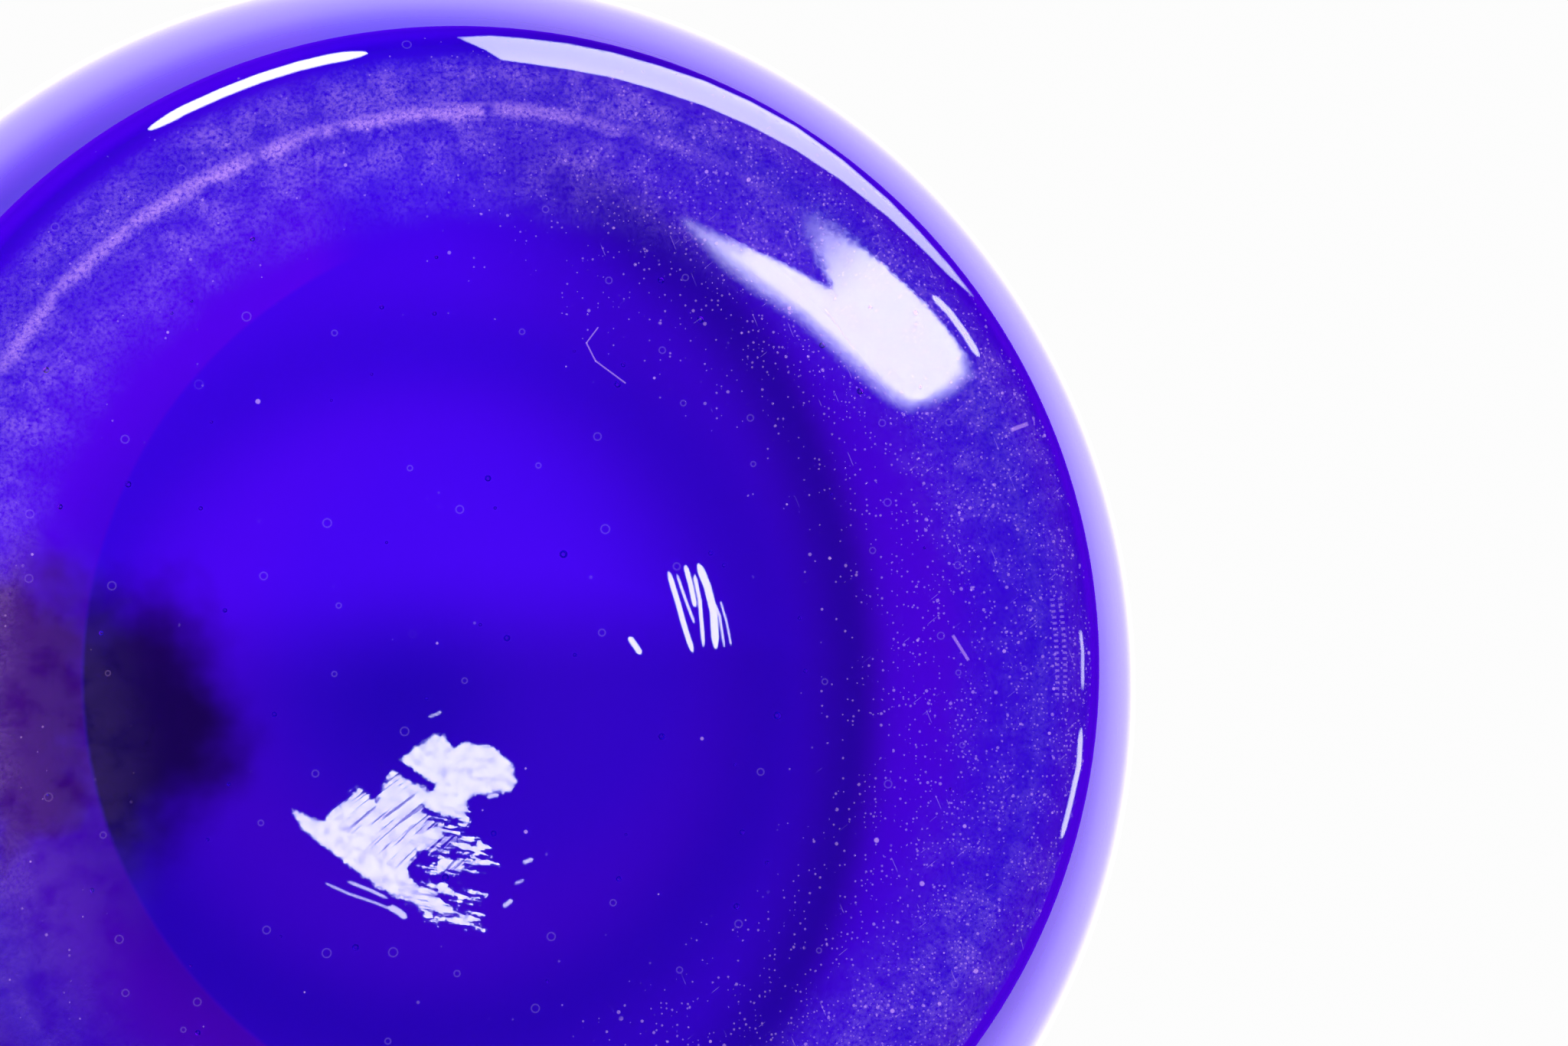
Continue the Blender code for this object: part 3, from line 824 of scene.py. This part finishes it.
# distances from the foot in metres; shapes, cuts, streaks (line, width), soft edges and steps in pixels
lights = {
    "skyPanel": {
        "distance": 0.008, "strength": 8.0, "soft": 3.0, "step": 2.5, "look": panelLook,
        "shapes": [[
            (598, 49), (640, 47), (680, 50), (740, 57), (800, 69), (860, 86), (920, 106), (980, 133),
            (1040, 166), (1100, 209), (1160, 261), (1200, 302), (1240, 347), (1272, 388), (1240, 360),
            (1200, 320), (1160, 283), (1100, 236), (1040, 196), (980, 164), (920, 138), (860, 118),
            (800, 101), (740, 90), (692, 83), (655, 78), (634, 65)]]},
    "pinkGlint": {
        "distance": 0.008, "strength": 6.0, "soft": 3.0, "step": 2.5, "look": plainLook,
        "streaks": [([(742, 41), (766, 46), (792, 53)], 6.0)]},
    "stripLamp": {
        "distance": 0.008, "strength": 20.0, "soft": 3.0, "step": 3.0, "look": plainLook,
        "streaks": [
            ([(193, 170), (240, 144), (291, 121), (340, 102), (388, 87), (430, 77), (480, 69)], 11.5)]},
    "bigOpening": {
        "distance": 0.004, "strength": 21.0, "soft": 24.0, "step": 6.0, "look": openingLook,
        "shapes": [[
            (896, 290), (973, 320), (1037, 350), (1084, 374), (1064, 340), (1040, 296), (1048, 270),
            (1072, 272), (1122, 316), (1166, 355), (1211, 398), (1240, 432), (1261, 462), (1266, 490),
            (1244, 512), (1214, 526), (1186, 534), (1162, 522), (1106, 472), (1045, 416), (990, 380),
            (944, 344)]]},
    "openingEdge": {
        "distance": 0.004, "strength": 15.0, "soft": 3.0, "step": 3.0, "look": plainLook,
        "streaks": [([(1218, 386), (1240, 408), (1259, 434), (1279, 466)], 8.0)]},
    "brokenPatch": {
        "distance": 0.004, "strength": 21.0, "soft": 5.0, "step": 3.5, "look": strokeLook,
        "shapes": [
            [(519, 992), (545, 972), (566, 957), (582, 960), (591, 974), (606, 969), (616, 969), (644, 973),
             (664, 990), (674, 1006), (676, 1021), (669, 1034), (645, 1038), (624, 1038), (612, 1048),
             (614, 1068), (608, 1079), (590, 1075), (566, 1062), (545, 1052), (540, 1030), (548, 1012),
             (535, 1004)],
            [(511, 1004), (502, 1023), (491, 1046), (480, 1034), (468, 1027), (456, 1040), (432, 1056),
             (422, 1070), (408, 1068), (393, 1057), (380, 1056), (392, 1082), (432, 1115), (464, 1139),
             (490, 1159), (532, 1180), (558, 1199), (600, 1206), (630, 1210), (628, 1194), (602, 1187),
             (576, 1172), (600, 1174), (632, 1174), (606, 1162), (572, 1158), (540, 1148), (534, 1134),
             (545, 1120), (546, 1112), (566, 1114), (596, 1116), (640, 1112), (616, 1096), (585, 1080),
             (556, 1060), (552, 1030), (530, 1016)],
            [(552, 1122), (575, 1116), (594, 1120), (616, 1122), (650, 1128), (616, 1136), (590, 1143),
             (564, 1140), (542, 1134)]],
        "cuts": [[(512, 996), (540, 1008), (566, 1026), (562, 1031), (536, 1015), (508, 1002)],
                 [(548, 1120), (565, 1114), (580, 1124), (566, 1130), (550, 1129)]]},
    "brokenStreaks": {
        "distance": 0.004, "strength": 14.0, "soft": 3.0, "step": 3.0, "look": plainLook,
        "streaks": [
            ([(454, 1151), (480, 1161), (506, 1173)], 3.5),
            ([(424, 1153), (455, 1167), (490, 1179), (510, 1187)], 2.5),
            ([(508, 1184), (520, 1190), (531, 1199)], 8.0), ([(683, 1127), (690, 1124), (696, 1122)], 4.5),
            ([(672, 1154), (678, 1152), (684, 1149)], 3.0), ([(657, 1184), (663, 1180), (669, 1175)], 5.0),
            ([(636, 1041), (643, 1039), (651, 1038)], 5.0), ([(560, 936), (570, 933), (577, 929)], 3.0)]},
    "fineStreaks": {
        "distance": 0.004, "strength": 20.0, "soft": 2.5, "step": 2.0, "look": plainLook,
        "streaks": [
            ([(873, 746), (884, 782), (894, 818), (905, 852)], 6.5),
            ([(884, 750), (895, 782), (907, 814)], 3.0), ([(895, 738), (902, 763), (908, 793)], 6.0),
            ([(907, 750), (914, 784), (919, 845)], 4.5),
            ([(912, 736), (924, 766), (932, 798), (935, 848)], 9.5),
            ([(926, 770), (940, 804), (946, 845)], 2.6), ([(941, 785), (949, 812), (955, 843)], 2.2),
            ([(822, 832), (829, 842), (837, 854)], 7.0)]},
    "rightGlints": {
        "distance": 0.008, "strength": 8.0, "soft": 2.5, "step": 2.5, "look": plainLook,
        "streaks": [([(1411, 822), (1414, 850), (1414, 902)], 3.6),
                    ([(1412, 950), (1409, 1000), (1397, 1053), (1386, 1096)], 6.0)]},
}
for name, light in lights.items():
    lightCard(name, light)
print("light cards hung")


# a material that is clear from one side; shaderOf gets a mask of the back and the clear shader
def oneSided(mesh, name, shaderOf):
    material = bpy.data.materials.new(name)
    bench = benchFor(material)
    clear = bench.node("ShaderNodeBsdfTransparent")
    back = bench.node("ShaderNodeNewGeometry", None, None, "Backfacing")
    bench.give("ShaderNodeOutputMaterial", {"Surface": shaderOf(bench, back, clear)})
    mesh.materials.append(material)


# a dark violet flag round the foot keeps the ceiling out of the heel's reflection; it counts only from
# underneath
flag = {"height": 0.0115, "inner": 0.0506, "outer": 2.5, "sides": 72, "colour": (0.10, 0.005, 0.85, 1)}
flagSpots = []
for side in range(flag["sides"] + 1):
    angle = math.radians(360 * side / flag["sides"])
    flagSpots += [(radius * math.cos(angle), radius * math.sin(angle), flag["height"])
                  for radius in (flag["inner"], flag["outer"])]
flagFaces = [(2 * side, 2 * side + 1, 2 * side + 3, 2 * side + 2) for side in range(flag["sides"])]
flagMesh = bpy.data.meshes.new("footFlag")
flagMesh.from_pydata(flagSpots, [], flagFaces)
oneSided(flagMesh, "flagViolet", lambda bench, back, clear: bench.mixShaders(
    back, clear, bench.node("ShaderNodeEmission", None, {"Color": flag["colour"], "Strength": 1.0})))
footFlag = linked("footFlag", flagMesh)
mirrorOnly(footFlag)

# pale floor, seen only from above; it lies a hair below the foot
floor = {"reach": 12.0, "height": -0.0001, "colour": (0.86, 0.86, 0.87, 1)}
floorMesh = bpy.data.meshes.new("floor")
floorMesh.from_pydata([(x * floor["reach"], y * floor["reach"], floor["height"])
                       for x, y in ((-1, -1), (1, -1), (1, 1), (-1, 1))], [], [(0, 1, 2, 3)])
oneSided(floorMesh, "paleFloor", lambda bench, back, clear: bench.mixShaders(
    back.most(bench.node("ShaderNodeLightPath", None, None, "Transparent Depth")).least(1.0),
    bench.node("ShaderNodeBsdfDiffuse", None, {"Color": floor["colour"]}), clear))
floorPiece = linked("floor", floorMesh)
floorPiece.visible_shadow = floorPiece.visible_diffuse = False
print("flag and floor laid")

# studio: a white tent above, dark below; mirror reflections see a darker room with a lit ceiling and
# four tall softboxes; from and to are heights on the unit sphere
studio = {
    "tent": 0.98, "tentFrom": -0.75, "tentTo": -0.55, "below": 0.02, "backLight": 1.42, "frontLight": 1.7,
    "dark": 0.03, "ceiling": 1.45, "ceilingFrom": 0.39, "ceilingTo": 0.68,
    "skylight": 0.9, "skylightFrom": 0.80, "skylightTo": 0.98,
    # each softbox: its bearing in degrees and half its width
    "softboxes": ((-50, 0.30), (40, 0.16), (130, 0.30), (220, 0.16)),
    "softbox": 8.0, "softboxLow": 0.05, "softboxHigh": 0.46, "softboxEdge": 0.05,
}
world = bpy.data.worlds.new("studio")
scene.world = world
bench = benchFor(world)
east, north, up = bench.parts(bench.node("ShaderNodeTexCoord", None, None, "Generated"))
glossy = bench.node("ShaderNodeLightPath", None, None, "Is Glossy Ray")
through, seen = [Wire(bench, glossy.socket.node.outputs[label])
                 for label in ("Is Transmission Ray", "Is Camera Ray")]
tent = up.rise(studio["tentFrom"], studio["tentTo"]) * (studio["tent"] - studio["below"]) + studio["below"]
front = up.rise(studio["tentTo"], studio["tentFrom"]) * (1 - through) * (1 - seen) * studio["frontLight"]
tent = tent * (1 + through * (studio["backLight"] - 1)) + front
room = up.rise(studio["ceilingFrom"], studio["ceilingTo"]) * (studio["ceiling"] - studio["dark"])
room = room + studio["dark"] + up.rise(studio["skylightFrom"], studio["skylightTo"]) * studio["skylight"]
boxes, edge = 0.0, studio["softboxEdge"]
for degrees, halfWidth in studio["softboxes"]:
    cosine, sine = math.cos(math.radians(degrees)), math.sin(math.radians(degrees))
    ahead, aside = east * cosine + north * sine, abs(north * cosine - east * sine)
    boxes = boxes + (ahead * halfWidth - aside).rise(0.0, edge)
boxes = boxes * up.rise(studio["softboxLow"], studio["softboxLow"] + edge)
boxes = boxes * up.rise(studio["softboxHigh"], studio["softboxHigh"] - edge)
room = room + boxes * studio["softbox"]
mirrored = glossy * (1 - through)
sky = bench.node("ShaderNodeBackground", None, {
    "Color": (1, 1, 1, 1), "Strength": tent + (room - tent) * mirrored})
bench.give("ShaderNodeOutputWorld", {"Surface": sky})

scene.view_settings.view_transform = "Standard"
scene.cycles.max_bounces = 24
scene.cycles.transmission_bounces = 24
scene.cycles.glossy_bounces = 12
scene.cycles.transparent_max_bounces = 16
scene.cycles.caustics_reflective = False
scene.cycles.use_denoising = True
print("studio lit")
